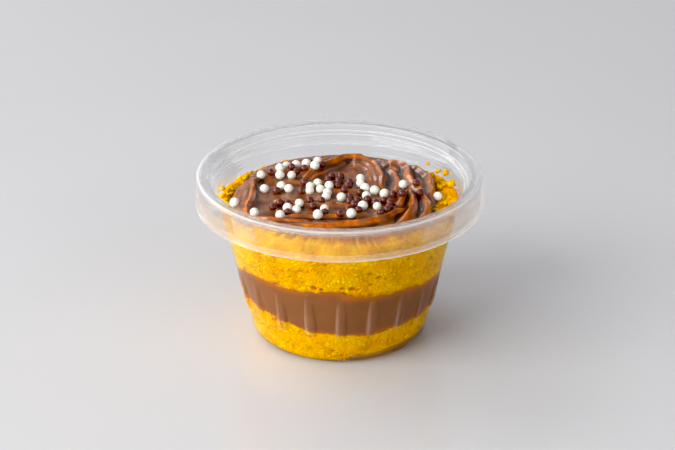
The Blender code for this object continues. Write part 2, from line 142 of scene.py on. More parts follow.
# Waves of the filling's foot and top: height, how many fast and slow ones go round, and phase
FOOT_WAVES = (0.35, 11, 7, 0)
TOP_WAVES = (0.4, 9, 5, 40)
# Share of the wall's radius at which the ring inside a closed layer lies
INNER_RING = 0.84
CAKE_LEVEL = 50.4
CAKE_MIDDLE = 49.6
SPONGE_REACH = 0.3
FILLING_REACH = 0.09
SPONGE_COLUMNS = 640
SPONGE_ROW = 0.4
# Raggedness of a layer's edge: noise seed and height, and the size and share of its two noises
RAGGED_RADIUS = 38.0
LOWER_TOP_RAGGED = (3, 0.55)
UPPER_FOOT_RAGGED = (5, 0.7)
LIP_RAGGED = (9, 0.9)
RAGGED_NOISES = ((1.7, 1.0), (4.5, 0.6))
# Crumb: grains that are stirred, with crevices between them, and looser regions with holes, the crevices and
# holes darkened with painted shade
GRAIN = 1.5
STIR_SIZE = 1.3
STIR = 0.5
CREVICE_WIDTH = 0.4
CREVICE_DEPTH = 0.14
CREVICE_DARKNESS = 0.45
LEAST_SHADE = 0.4
ROUGH_SIZE = 0.5
ROUGH_DEPTH = 0.05
LOOSE_SIZE = 6.5
LOOSE_PLACE = (4.0, 9.0, 2.0)
LOOSE_GAIN = 2.2
LOOSE_LEVEL = 0.35
HOLE_SPACING = (3.4, 3.4, 2.0)
HOLE_REACH = 0.30
HOLE_STEEPNESS = 1.6
HOLE_DARKNESS = 1.3
HOLE_DEPTH = 0.5
PORE_SHAPE = (1.0, 1.0, 2.2)
PORE_FULLNESS = 1.3
# Larger pores seen at the front, sunk in and given painted shade, as angle, height and size
PORES = ((-103.5, 34.7, 1.3), (-99.5, 34.3, 0.9), (-88.5, 34.9, 1.1), (-83.5, 34.6, 1.4),
         (-80.5, 34.0, 0.9), (-74.0, 35.8, 1.0), (-70.0, 38.6, 1.1), (-66.0, 37.4, 0.8),
         (-108.0, 12.2, 1.0))
# Crumbs stuck to the wall above the cake, as angle, height and size
STRAY_CRUMBS = ((14, 53.6, 1.7), (24, 54.6, 1.3), (40, 53.8, 0.8), (31, 53.2, 0.9), (172, 53.4, 0.9),
                (178, 52.6, 1.1))
# Loose crumbs: how many, the draw of their size, how high they heap, and how uneven they are
CRUMB_SEED = 23
CRUMB_COUNT = 260
CRUMB_DRAW = (0.4, 0.9)
CRUMB_SKEW = 1.5
CRUMB_HEAP = 0.5
CRUMB_SPREAD = 90
CRUMB_STRETCH = ((0.7, 1.2), (0.7, 1.2), (0.6, 1.0))
CRUMB_LUMPS = 0.9
CRUMB_LUMP_COUNT = 1.6
# Lower cake: its side, the rounded foot, and a moist film on the pot's floor
LOWER_SIDE = 16.0
FLOOR_REACH = 0.1
CHAMFER_ROWS = 11
CHAMFER_RISE = 1.2
CHAMFER_BULGE = 0.8
CHAMFER_PULL = 1.1
CHAMFER_FROM = 0.8
FILM = 0.25
FILM_ROWS = 2
FILM_SOAK = 0.5
LOWER_SOAK = 0.5
LOWER_SOAK_DEPTH = 0.9
# Upper cake: its side, the lip round the frosting, and rings under the frosting
UPPER_SIDE = 22.0
UPPER_SOAK = 0.6
UPPER_SOAK_DEPTH = 1.6
LIP_ROWS = 9
LIP_TUCK = 0.8
LIP_PLACE = 0.55
LIP_WARMTH = 0.55
LIP_RELIEF = 0.7
LIP_LIFT = 0.25
UNDER_RING = 0.8
MIDDLE_RING = 0.5
# Filling: its side, and where it thins over the cake at its foot and top
FILLING_SIDE = 22.0
FILLING_ROW = 0.5
FILLING_OVERLAP = 1.8
THIN_FOOT = 1.5
THIN_TOP = 2.4

# Frosting
FROSTING_EDGE = 0.9
FROSTING_DOME = 2.2
EDGE_SHARE = 0.06
FROSTING_CELLS = 290
# Each spatula stroke: crest height, falloff to its left, falloff to its right, points of its crest
STROKES = (
    (3.0, 4.2, 1.6, ((-27.5, -25.5), (-21.6, -29.1), (-9.2, -29.9), (-1.6, -29.1), (10.3, -26.1),
                     (16.2, -22.5), (22.4, -16.4), (27.2, -14.2))),
    (3.4, 4.0, 1.7, ((-14.0, 13.8), (-8.5, 20.0), (-4.8, 24.7), (1.5, 31.1), (7.2, 31.6), (11.5, 31.0))),
    (3.2, 1.5, 4.4, ((3.0, 31.4), (7.2, 31.1), (10.9, 28.7), (14.0, 23.2), (15.7, 13.8), (16.4, 3.1))),
    (2.8, 1.4, 3.8, ((15.3, 29.1), (19.8, 29.8), (25.3, 24.3), (26.5, 13.4), (29.0, 4.3), (31.7, -6.1),
                     (32.0, -14.8), (28.0, -24.8))),
    (2.2, 1.4, 3.0, ((25.4, 29.0), (30.9, 23.5), (34.2, 15.7), (34.4, 5.1), (33.0, -5.4))),
    (3.6, 2.4, 2.4, ((20.7, -11.0), (23.2, -5.1), (25.5, -0.7), (26.7, -8.1), (25.6, -17.7), (21.5, -24.5))),
    (2.6, 1.4, 5.5, ((-28.5, 17.0), (-31.2, 11.0), (-31.6, 3.0), (-32.1, -5.2), (-33.6, -13.0),
                     (-32.0, -20.0))),
    (1.8, 3.2, 1.4, ((-20.2, -18.2), (-12.3, -19.9), (-4.5, -19.9), (4.4, -19.9), (13.4, -18.5))),
    (2.2, 3.4, 2.2, ((-30.2, 14.1), (-22.9, 18.8), (-14.3, 21.8), (-6.0, 25.0))),
    (1.2, 1.5, 2.6, ((7.8, 27.0), (11.0, 19.0), (11.4, 10.0), (9.0, 3.0))),
    (1.6, 1.3, 2.6, ((18.6, 25.0), (21.4, 17.0), (21.8, 8.0), (20.4, 0.0))),
    (1.4, 2.6, 1.3, ((-24.0, -4.0), (-17.0, -8.5), (-8.0, -9.5), (3.0, -10.5), (10.0, -13.0))),
    (1.8, 3.0, 1.6, ((-35.0, -17.0), (-28.0, -20.5), (-19.0, -23.0), (-9.0, -25.0))),
    (1.1, 2.4, 1.4, ((-24.0, 8.0), (-15.0, 10.0), (-7.0, 5.0), (2.0, 2.0), (11.0, 3.0))),
)
STROKE_SAMPLES = 40
STROKE_FADE = 0.16
FADE_POWER = 0.7
FLANK_POWER = 1.2
# Streaks that the spatula leaves along a stroke: width, length and depth
STREAKS = ((1.9, 18.0, 0.5), (0.9, 14.0, 0.07))
STREAK_LEAD = 0.35
# Painted glow along the ridges of the streaks
STREAK_GLOW = 1.6
STREAK_GLOW_FROM = 0.2
STREAK_GLOW_MOST = 0.4
STROKE_SHIFT = 9.0
STEEP_WIDTH = 1.9
# Painted glow of light through the thin crests: where it starts on gentle and on steep flanks, its gain, and
# the crest height that gets the full glow
GLOW_STARTS = (0.28, 0.8)
GLOW_GAIN = 2.0
GLOW_HEIGHT = 2.2
WANDER = 0.75
WANDER_SIZE = 6.0
FOLD_SIZES = ((5.5, 0.42), (2.6, 0.06))
# Patches that break up the painted glow
GLOW_PATCH = 3.5
GLOW_PLACE = (7.0, 3.0, 1.0)
GLOW_LEVEL = 0.75
GLOW_CONTRAST = 1.5
GLOW_LEAST = 0.05
# Painted shade in hollows: how many cells round a place count, and how deep a hollow with the full painted
# shade lies under their mean
HOLLOW_REACH = 9
HOLLOW_DEPTH = 0.4
# Border of the frosting: how far each ring drops, and how far it is drawn in
BORDER_RINGS = ((0.5, 1.004), (1.2, 0.985))

# Pearls: diameters, how deep they sit, and clusters as x, y, radius, white count, brown count
WHITE_PEARL = 3.4
BROWN_PEARL = 2.9
PEARL_VARIATION = 0.08
PEARL_LUMPS = 0.02
PEARL_SINK = 0.2
PEARL_FOOT = 1.2
PEARL_CLEARANCE = 0.12
PEARL_SEED = 11
PEARL_TRIES = 300
CLUSTERS = (
    (-25.5, 16.5, 3.5, 1, 1), (-18.0, 20.5, 5.0, 4, 3), (-9.5, 24.0, 4.5, 3, 2), (-19.0, 4.5, 6.0, 2, 2),
    (-10.0, 4.3, 5.0, 4, 1), (-3.0, -1.5, 6.0, 4, 1), (-1.0, 10.0, 6.0, 0, 8), (10.3, -0.7, 4.5, 3, 1),
    (3.0, -4.0, 6.0, 0, 3), (9.5, -9.5, 5.5, 3, 4), (18.5, -5.0, 5.0, 1, 4), (15.0, -16.0, 5.5, 0, 3),
    (2.0, -16.5, 5.5, 1, 3), (-14.5, -12.5, 5.0, 3, 0), (-19.5, -11.5, 6.0, 0, 5), (-5.5, -18.5, 5.0, 2, 1),
    (-8.0, -7.5, 5.0, 0, 3), (7.5, 8.0, 4.0, 2, 0),
)
LONE_WHITE = ((23.5, 6.4), (36.0, 0.3), (-38.0, -7.4), (-30.5, -17.6), (-21.2, -20.3), (-27.6, 4.2),
              (-29.1, 15.4))
LONE_BROWN = ((28.2, 4.7), (29.4, -2.5))

# Finishes: colours, and the size in millimetres and contrast of patches
PLASTIC_TINT = (0.975, 0.98, 0.985)
PLASTIC_IOR = 1.24
# Share of the light that the thin wall doesn't bend, and share of its painted haze and highlights that
# shines through
STRAIGHT_THROUGH = 0.5
HAZE_AND_HIGHLIGHT_THROUGH = 0.4
# White of the plastic's faint haze and of the highlights painted along its edges
PLASTIC_HAZE_AND_HIGHLIGHT = (0.95, 0.95, 0.96, 1.0)
# Amber painted into the pot's foot in place of the cake's yellow light
FOOT_GLOW_TINT = (0.92, 0.78, 0.36)
CRUMB_GRAIN = 1.4
GRAIN_SHIFT = 1.2
GRAIN_FULLNESS = 2.8
# Painted shade in the gaps between the grains, and the lighter colour of their tops
CRUMB_GAP_SHADE = (0.42, 0.12, 0.0)
CRUMB_TOP = (1.0, 0.80, 0.0)
CRUMB_FLECKS = (1.9, 2.6)
CRUMB_FLECK = (0.98, 0.61, 0.0)
CRUMB_PATCHES = (4.5, 4.0)
CRUMB_PATCH = (0.84, 0.40, 0.0)
# Painted shade in the crumb's pores and crevices
CRUMB_PORE_SHADE = (0.42, 0.13, 0.0)
CRUMB_WARM = (0.90, 0.30, 0.0)
CRUMB_SOAKED = (0.42, 0.12, 0.012)
FILLING_DARK = (0.19, 0.068, 0.018)
FILLING_LIGHT = (0.25, 0.095, 0.028)
FILLING_THIN = (0.42, 0.115, 0.006)
FROSTING_DARK = (0.12, 0.032, 0.006)
FROSTING_LIGHT = (0.32, 0.11, 0.035)
# Painted shade in the frosting's hollows
FROSTING_HOLLOW_SHADE = (0.035, 0.007, 0.001)
FROSTING_SHEEN = (1.0, 0.87, 0.77, 1.0)
# Painted glow of light through the frosting's thin crests
CREST_GLOW_DARK = (0.34, 0.064, 0.001)
CREST_GLOW_LIGHT = (0.68, 0.19, 0.002)
# Pearls: the darker and the lighter colour of their shell, and its roughness
WHITE_SHELL = ((0.80, 0.77, 0.66), (0.90, 0.88, 0.80), 0.35)
BROWN_SHELL = ((0.085, 0.014, 0.009), (0.16, 0.034, 0.022), 0.2)

# World: brighter on the left, as in the photo
WORLD_LEFT = (0.94, 0.94, 0.98)
WORLD_RIGHT = (0.07, 0.07, 0.08)
WORLD_STRENGTH = 1.0
# Lights in metres: name, place, height that it aims at, width and height, power and colour
LIGHTS = (
    ("left_light", (-1.03, -0.64, 0.66), 0.04, (1.2, 0.65), 21.0, (1.0, 0.985, 0.96)),
    ("back_light", (-1.5, 1.3, 1.4), 0.04, (2.0, 0.6), 20.0, (0.97, 0.97, 1.0)),
    ("right_light", (0.95, -0.75, 0.45), 0.03, (0.8, 0.6), 4.0, (1.0, 0.98, 0.95)),
)
FLOOR_HALF = 6.0
# The photo's blacks are deep, so this much haze is taken off the whole picture
BLACK_LEVEL = 0.012

# Camera: where the photo was taken from
LENS = 117.33
SENSOR = 36.0
CAMERA_DISTANCE = 810.0
CAMERA_ELEVATION = 24.97
CAMERA_SIDE = -0.7
LOOK_HEIGHT = 41.27


def around(pairs, angles):
    """Smooth values at angles in degrees, between pairs of angle and value that close on themselves."""
    knots = sorted((angle % 360.0, value) for angle, value in pairs)
    starts = np.array([angle for angle, value in knots])
    values = np.array([value for angle, value in knots])
    angles = np.asarray(angles, float) % 360.0
    index = (np.searchsorted(starts, angles, side="right") - 1) % len(knots)
    following = (index + 1) % len(knots)
    width = (starts[following] - starts[index]) % 360.0
    along = (angles - starts[index]) % 360.0
    ease = 0.5 - 0.5 * np.cos(np.pi * along / width)
    return values[index] + (values[following] - values[index]) * ease


def waves(angles, height, fast, slow, phase):
    """Small unevenness round the pot."""
    return height * np.sin(np.radians(angles * fast + phase)) * np.cos(np.radians(angles * slow))


def filling_foot(angles):
    return around(FILLING_FOOT, angles) + waves(angles, *FOOT_WAVES)


def filling_top(angles):
    return around(FILLING_TOP, angles) + waves(angles, *TOP_WAVES)


def cone_radius(z):
    return FOOT_RADIUS + WALL_SLOPE * (z - CORNER_TOP)


def corner_point(turn_share):
    """Radius and height on the rounded corner of the pot's floor, from the floor up to the cone."""
    full = math.radians(CORNER_TURN)
    across = np.sin(full * turn_share) / math.sin(full)
    upward = (1 - np.cos(full * turn_share)) / (1 - math.cos(full))
    return FLOOR_RADIUS + (FOOT_RADIUS - FLOOR_RADIUS) * across, WALL + (CORNER_TOP - WALL) * upward


def rib_bulge(z):
    """Share of a rib's full depth at a height: a round foot, fullest low down, and a point at the top."""
    share = np.clip((z - RIB_FOOT) / (RIB_POINT - RIB_FOOT), 0.0, 1.0)
    rise = np.clip(share / RIB_FULLEST, 0.0, 1.0)
    fall = np.clip((share - RIB_FULLEST) / (1 - RIB_FULLEST), 0.0, 1.0)
    return np.sqrt(rise * (2 - rise)) * (1 - fall) ** RIB_TAPER


def rib_half_angle(z):
    narrow, wide = RIB_HALF_ANGLES
    return narrow + (wide - narrow) * rib_bulge(z) ** RIB_WIDENING


def off_rib(angles):
    """Degrees from the middle of the nearest rib."""
    return (angles - FRONT + RIB_PITCH / 2) % RIB_PITCH - RIB_PITCH / 2


def face_radius(z, angles):
    """Radius of the pot's face towards the food, ribs and rounded floor corner included."""
    z, angles = np.broadcast_arrays(np.asarray(z, float), np.asarray(angles, float))
    upward = np.clip((z - WALL) / (CORNER_TOP - WALL), 0.0, 1.0)
    full = math.radians(CORNER_TURN)
    turn = np.arccos(1 - upward * (1 - math.cos(full)))
    corner = FLOOR_RADIUS + (FOOT_RADIUS - FLOOR_RADIUS) * np.sin(turn) / math.sin(full)
    across = np.clip(np.abs(off_rib(angles)) / rib_half_angle(z), 0.0, 1.0)
    rib = RIB_DEPTH * rib_bulge(z) * (1 - across ** 2) ** RIB_ROUNDNESS
    return np.where(z < CORNER_TOP, corner, cone_radius(z) + rib)


def rib_column_angle(column, z):
    """Angles of the pot's columns, which crowd over each rib, follow its width and even out above it."""
    rib, place = np.divmod(column, ACROSS_RIB + BETWEEN_RIBS)
    half = RIB_MARGIN * rib_half_angle(z)
    inside = -half + 2 * half * place / ACROSS_RIB
    outside = half + (RIB_PITCH - 2 * half) * (place - ACROSS_RIB) / BETWEEN_RIBS
    crowded = FRONT + rib * RIB_PITCH + np.where(place <= ACROSS_RIB, inside, outside)
    even = FRONT + (column - ACROSS_RIB / 2) * 360.0 / POT_COLUMNS
    return crowded + (even - crowded) * np.clip((z - EVEN_ABOVE) / EVEN_RISE, 0.0, 1.0)


def turned(rows, columns):
    """A sheet of rows spun into columns round the axis, with each vertex's row and column as arrays."""
    sheet = bmesh.new()
    line = [sheet.verts.new((1.0, 0.0, row)) for row in range(rows)]
    edges = [sheet.edges.new(pair) for pair in zip(line, line[1:])]
    bmesh.ops.spin(sheet, geom=line + edges, cent=(0, 0, 0), axis=(0, 0, 1), angle=math.tau,
                   steps=columns, use_merge=True)
    places = np.array([vert.co for vert in sheet.verts])
    turn = np.arctan2(places[:, 1], places[:, 0]) / math.tau
    return sheet, np.rint(places[:, 2]).astype(int), np.rint(turn * columns).astype(int) % columns


def round_places(radius, angles, z):
    """Places at a radius, angle and height, with x, y and z along the last axis."""
    turn = np.radians(angles)
    return np.stack(np.broadcast_arrays(radius * np.cos(turn), radius * np.sin(turn), z), axis=-1)


def place_round(sheet, radius, angles, z):
    for vert, point in zip(sheet.verts, round_places(radius, angles, z)):
        vert.co = point


def close_ends(sheet):
    """Fills the open rings of a turned sheet with fans."""
    rims = [edge for edge in sheet.edges if edge.is_boundary]
    made = bmesh.ops.edgeloop_fill(sheet, edges=rims)["faces"]
    bmesh.ops.poke(sheet, faces=made)


def finish_piece(name, mesh_data, material, replaced=None, masks=None):
    """Makes a piece of a bmesh in millimetres, with its masks as attributes, and puts it in the frame."""
    bmesh.ops.scale(mesh_data, vec=(MM, MM, MM), verts=mesh_data.verts)
    bmesh.ops.recalc_face_normals(mesh_data, faces=mesh_data.faces)
    mesh = bpy.data.meshes.new(name)
    mesh_data.to_mesh(mesh)
    mesh_data.free()
    mesh.shade_smooth()
    mesh.materials.append(material)
    for mask, values in (masks or {}).items():
        padded = np.zeros(len(mesh.vertices), np.float32)
        padded[:len(values)] = values
        mesh.attributes.new(mask, "FLOAT", "POINT").data.foreach_set("value", padded)
    piece = bpy.data.objects.new(name, mesh)
    bpy.context.scene.collection.objects.link(piece)
    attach(piece, "root")
    if replaced:
        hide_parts(replaced)
    return piece


# Materials

def connect(tree, value, socket):
    """Links a socket to an input, or sets the input to a plain number or colour."""
    if isinstance(value, bpy.types.NodeSocket):
        tree.links.new(value, socket)
    else:
        socket.default_value = value


def node(tree, kind, **values):
    """A node with its properties set."""
    made = tree.nodes.new(kind)
    for name, value in values.items():
        setattr(made, name, value)
    return made


def feed(tree, made, **inputs):
    """Sets or links a node's inputs, whose spaces are written as underscores."""
    for name, value in inputs.items():
        connect(tree, value, made.inputs[name.replace("_", " ")])
    return made


def calc(tree, operation, *values, clamp=False):
    """One step of arithmetic on numbers or sockets."""
    made = node(tree, "ShaderNodeMath", operation=operation, use_clamp=clamp)
    for value, socket in zip(values, made.inputs):
        connect(tree, value, socket)
    return made.outputs[0]


def blend(tree, share, low, high):
    """A mix of two colours by a share."""
    made = node(tree, "ShaderNodeMix", data_type="RGBA")
    connect(tree, share, made.inputs[0])
    for value, socket in ((low, made.inputs[6]), (high, made.inputs[7])):
        connect(tree, value if isinstance(value, bpy.types.NodeSocket) else (*value, 1.0), socket)
    return made.outputs[2]


def mixed(tree, share, first, second):
    """A mix of two shader nodes by a share."""
    made = node(tree, "ShaderNodeMixShader")
    for value, socket in zip((share, first.outputs[0], second.outputs[0]), made.inputs):
        connect(tree, value, socket)
    return made


def mask_of(tree, name):
    return node(tree, "ShaderNodeAttribute", attribute_name=name).outputs["Fac"]


def bump(tree, shader, height, strength, distance):
    made = node(tree, "ShaderNodeBump")
    feed(tree, made, Height=height, Strength=strength, Distance=distance * MM)
    tree.links.new(made.outputs["Normal"], shader.inputs["Normal"])


def new_material(name):
    material = bpy.data.materials.new(name)
    material.use_nodes = True
    return material, material.node_tree, material.node_tree.nodes["Principled BSDF"]


def new_group(name, *inputs):
    """A group that turns numbers into a mask, with its inlet, the place on the object and its scale."""
    group = bpy.data.node_groups.new(name, "ShaderNodeTree")
    for title in inputs:
        group.interface.new_socket(title, in_out="INPUT", socket_type="NodeSocketFloat")
    group.interface.new_socket("Mask", in_out="OUTPUT", socket_type="NodeSocketFloat")
    inlet = group.nodes.new("NodeGroupInput")
    place = node(group, "ShaderNodeTexCoord").outputs["Object"]
    return group, inlet, place, calc(group, "DIVIDE", 1.0 / MM, inlet.outputs["Size"])


def mottle_group():
    """Uneven patches at a size in millimetres, as a mask from 0 to 1."""
    group, inlet, place, scale = new_group("mottle", "Size", "Contrast")
    patches = feed(group, node(group, "ShaderNodeTexNoise"), Vector=place, Scale=scale, Detail=3.0,
                   Roughness=0.6)
    centred = calc(group, "SUBTRACT", patches.outputs["Fac"], 0.5)
    spread = calc(group, "MULTIPLY_ADD", centred, inlet.outputs["Contrast"], 0.5, clamp=True)
    group.links.new(spread, group.nodes.new("NodeGroupOutput").inputs["Mask"])
    return group


def grain_group():
    """Rounded grains at a size in millimetres: 0 in the gaps between them and 1 on their tops."""
    group, inlet, place, scale = new_group("grain", "Size")
    stir = feed(group, node(group, "ShaderNodeTexNoise"), Vector=place, Scale=scale, Detail=2.0)
    shifted = node(group, "ShaderNodeVectorMath", operation="MULTIPLY_ADD")
    for value, socket in zip((stir.outputs["Color"], (GRAIN_SHIFT * MM,) * 3, place), shifted.inputs):
        connect(group, value, socket)
    cells = feed(group, node(group, "ShaderNodeTexVoronoi", feature="DISTANCE_TO_EDGE"),
                 Vector=shifted.outputs[0], Scale=scale)
    spread = calc(group, "MULTIPLY", cells.outputs["Distance"], GRAIN_FULLNESS, clamp=True)
    group.links.new(spread, group.nodes.new("NodeGroupOutput").inputs["Mask"])
    return group


MOTTLE = mottle_group()
GRAIN_GROUP = grain_group()


def mottle(tree, size, contrast):
    made = feed(tree, node(tree, "ShaderNodeGroup", node_tree=MOTTLE), Size=size, Contrast=contrast)
    return made.outputs["Mask"]


def grain(tree, size):
    return feed(tree, node(tree, "ShaderNodeGroup", node_tree=GRAIN_GROUP), Size=size).outputs["Mask"]


def clear_plastic():
    """Thin clear plastic: half the light passes straight through, and all of it on the way to the food. A
    mask paints it white, with painted highlights along its edges and a faint haze.
    """
    material, tree, shader = new_material("clear_plastic")
    # Amber painted into the foot's plastic in place of the cake's yellow light
    tint = blend(tree, mask_of(tree, "foot_glow"), PLASTIC_TINT, FOOT_GLOW_TINT)
    feed(tree, shader, Base_Color=tint, Roughness=0.03, IOR=PLASTIC_IOR, Transmission_Weight=1.0)
    passing = feed(tree, node(tree, "ShaderNodeBsdfTransparent"), Color=tint)
    path = node(tree, "ShaderNodeLightPath")
    straight = calc(tree, "MAXIMUM", path.outputs["Is Shadow Ray"], STRAIGHT_THROUGH)
    either = mixed(tree, straight, shader, passing)
    lit = feed(tree, node(tree, "ShaderNodeBsdfDiffuse"), Color=PLASTIC_HAZE_AND_HIGHLIGHT)
    glowing = feed(tree, node(tree, "ShaderNodeBsdfTranslucent"), Color=PLASTIC_HAZE_AND_HIGHLIGHT)
    # Painted highlights along the edges and a faint haze, in white where the mask says
    whitened = mixed(tree, mask_of(tree, "haze_and_highlight"), either, mixed(tree, HAZE_AND_HIGHLIGHT_THROUGH, lit, glowing))
    tree.links.new(whitened.outputs[0], tree.nodes["Material Output"].inputs["Surface"])
    return material


def sponge():
    """Bright yellow crumb, with painted shade in the gaps between grains and in its pores, orange on top,
    browner where the chocolate soaks in.
    """
    material, tree, shader = new_material("sponge")
    grains = grain(tree, CRUMB_GRAIN)
    # Painted shade in the gaps between the grains
    crumb = blend(tree, grains, CRUMB_GAP_SHADE, CRUMB_TOP)
    flecked = blend(tree, mottle(tree, *CRUMB_FLECKS), crumb, CRUMB_FLECK)
    patched = blend(tree, mottle(tree, *CRUMB_PATCHES), CRUMB_PATCH, flecked)
    # Painted shade in the pores and crevices
    pore_shaded = blend(tree, mask_of(tree, "pore_shade"), patched, CRUMB_PORE_SHADE)
    warmed = blend(tree, mask_of(tree, "warm"), pore_shaded, CRUMB_WARM)
    soaked = blend(tree, mask_of(tree, "soak"), warmed, CRUMB_SOAKED)
    feed(tree, shader, Base_Color=soaked, Roughness=0.85, Specular_IOR_Level=0.05,
         Subsurface_Weight=0.35, Subsurface_Radius=(1.0, 0.6, 0.05), Subsurface_Scale=1.5 * MM)
    bump(tree, shader, grains, 0.8, 0.35)
    return material


def chocolate_filling():
    """Smooth milk chocolate, lighter in streaks and orange-brown where it thins at its edges."""
    material, tree, shader = new_material("chocolate_filling")
    body = blend(tree, mottle(tree, 6.0, 1.6), FILLING_DARK, FILLING_LIGHT)
    edged = blend(tree, mask_of(tree, "thin"), body, FILLING_THIN)
    feed(tree, shader, Base_Color=edged, Roughness=0.35, Specular_IOR_Level=0.25)
    bump(tree, shader, mottle(tree, 2.5, 1.5), 0.25, 0.15)
    return material


def chocolate_frosting():
    """Glossy spread chocolate: a painted caramel glow of light through the thin crests, painted shade in
    hollows, with fine sweep lines.
    """
    material, tree, shader = new_material("chocolate_frosting")
    body = blend(tree, mottle(tree, 5.0, 1.8), FROSTING_DARK, FROSTING_LIGHT)
    # Painted glow of light through the thin crests
    glow_colour = blend(tree, mottle(tree, 2.2, 3.0), CREST_GLOW_DARK, CREST_GLOW_LIGHT)
    with_glow = blend(tree, mask_of(tree, "crest_glow"), body, glow_colour)
    # Painted shade in the hollows
    hollow_shaded = blend(tree, mask_of(tree, "hollow"), with_glow, FROSTING_HOLLOW_SHADE)
    feed(tree, shader, Base_Color=hollow_shaded, Roughness=0.18, Specular_IOR_Level=0.53,
         Specular_Tint=FROSTING_SHEEN, Subsurface_Weight=0.1, Subsurface_Radius=(1.0, 0.35, 0.08),
         Subsurface_Scale=1.0 * MM)
    lines = feed(tree, node(tree, "ShaderNodeTexNoise", noise_dimensions="1D"), W=mask_of(tree, "sweep"),
                 Scale=0.8, Detail=3.0)
    bump(tree, shader, lines.outputs["Fac"], 0.25, 0.3)
    return material


def pearl_finish(name, low, high, roughness):
    """Sugar shell, a little uneven in colour and surface."""
    material, tree, shader = new_material(name)
    feed(tree, shader, Base_Color=blend(tree, mottle(tree, 2.2, 2.0), low, high), Roughness=roughness)
    bump(tree, shader, mottle(tree, 0.9, 1.5), 0.3, 0.08)
    return material


def floor_finish():
    material, tree, shader = new_material("pale_floor")
    shade = blend(tree, mottle(tree, 160.0, 1.0), (0.56, 0.56, 0.565), (0.60, 0.60, 0.605))
    feed(tree, shader, Base_Color=shade, Roughness=0.22, Specular_IOR_Level=0.4)
    return material


# Pot

def rounded(points, size):
    """A line with each inner corner turned into a short curve."""
    smooth = [points[0]]
    for before, corner, after in zip(points, points[1:], points[2:]):
        before, corner, after = (np.array(point, float) for point in (before, corner, after))
        back, ahead = before - corner, after - corner
        reach = min(size, ROUNDING_SHARE * np.hypot(*back), ROUNDING_SHARE * np.hypot(*ahead))
        start = corner + back / np.hypot(*back) * reach
        end = corner + ahead / np.hypot(*ahead) * reach
        for t in np.linspace(0.0, 1.0, ROUNDING_STEPS):
            smooth.append(tuple((1 - t) ** 2 * start + 2 * t * (1 - t) * corner + t ** 2 * end))
    return smooth + [points[-1]]


def pot_profile():
    """Radius and height along the face towards the food, over the rim and down the skirt."""
    corner = [corner_point(step / CORNER_STEPS) for step in range(CORNER_STEPS + 1)]
    ribs = [(cone_radius(z), z) for z in np.arange(RIB_FOOT - RIB_RING, RIB_POINT + RIB_RING, RIB_RING)]
    rings = []
    for height in WALL_RINGS:
        for offset, depth in ((-WALL_RING_HALF, 0.0), (0.0, WALL_RING_DEPTH), (WALL_RING_HALF, 0.0)):
            rings.append((cone_radius(height + offset) + depth, height + offset))
    rim = rounded([(cone_radius(WALL_TOP), WALL_TOP), SEAT_FOOT, SEAT_EDGE, SEAT_TOP, RIM_INNER,
                   RIM_DIP, RIM_CREST, RIM_OUTER, SKIRT_TOP, SKIRT_WAIST, BEAD_TOP, SKIRT_FOOT], ROUNDING)
    return np.array(corner + ribs + rings + rim, float)


def haze_and_highlights(places):
    """How white the plastic is painted: painted highlights along the rim's edges and the ribs' left sides,
    and a faint haze on the skirt and over the ribs.
    """
    radius, z = np.hypot(places[:, 0], places[:, 1]), places[:, 2]
    haze_and_highlight = np.where(radius > SKIRT_WAIST[0] - WALL / 2, SKIRT_MILK, 0.0)
    across = off_rib(np.degrees(np.arctan2(places[:, 1], places[:, 0]))) / rib_half_angle(z)
    gleam_middle, gleam_width = RIB_GLEAM
    left_side = np.exp(-((across - gleam_middle) / gleam_width) ** 2)
    # Haze over the ribs, and a painted highlight on their left sides
    haze_and_highlight = haze_and_highlight + rib_bulge(z) * (RIB_MILK * (np.abs(across) < 1) + RIB_PAINTED_HIGHLIGHT * left_side)
    # Painted highlights along the rim's edges
    for (ring_radius, ring_height), reach, strength in PAINTED_HIGHLIGHT_RINGS:
        apart = np.hypot(radius - ring_radius, z - ring_height)
        haze_and_highlight = np.maximum(haze_and_highlight, strength * np.exp(-(apart / reach) ** 2))
    return haze_and_highlight


def foot_glow(places):
    """How much amber is painted into the pot's foot, standing in for the yellow light from the cake: most
    where the cake clears the corner.
    """
    room = around(CORNER_CUT, np.degrees(np.arctan2(places[:, 1], places[:, 0]))) / FOOT_GLOW_TOP
    height = np.clip((FOOT_GLOW_TOP - places[:, 2]) / FOOT_GLOW_TOP, 0.0, 1.0)
    outward = np.clip(np.hypot(places[:, 0], places[:, 1]) - FLOOR_RADIUS + FOOT_GLOW_INSET, 0.0, 1.0)
    return room * np.sqrt(height) * outward


def build_pot(material):
    profile = pot_profile()
    sheet, rows, columns = turned(len(profile), POT_COLUMNS)
    z = profile[rows, 1]
    angles = rib_column_angle(columns, z)
    on_cone = (z > CORNER_TOP) & (z < RIB_POINT + RIB_RING)
    radius = np.where(on_cone, face_radius(z, angles), profile[rows, 0])
    place_round(sheet, radius, angles, z)
    floor_edges = [edge for edge in sheet.edges if edge.is_boundary and edge.verts[0].co.z < CORNER_TOP]
    bmesh.ops.edgeloop_fill(sheet, edges=floor_edges)
    bmesh.ops.recalc_face_normals(sheet, faces=sheet.faces)
    floor = min(sheet.faces, key=lambda face: face.calc_center_median().z)
    if floor.normal.z < 0:
        bmesh.ops.reverse_faces(sheet, faces=sheet.faces)
    bmesh.ops.solidify(sheet, geom=list(sheet.faces), thickness=WALL)
    places = np.array([vert.co for vert in sheet.verts])
    masks = {"haze_and_highlight": haze_and_highlights(places), "foot_glow": foot_glow(places)}
    piece = finish_piece("pot", sheet, material, "cup", masks=masks)
    piece.data.set_sharp_from_angle(angle=math.radians(SHARP_ANGLE))
    return piece


# Cake and filling

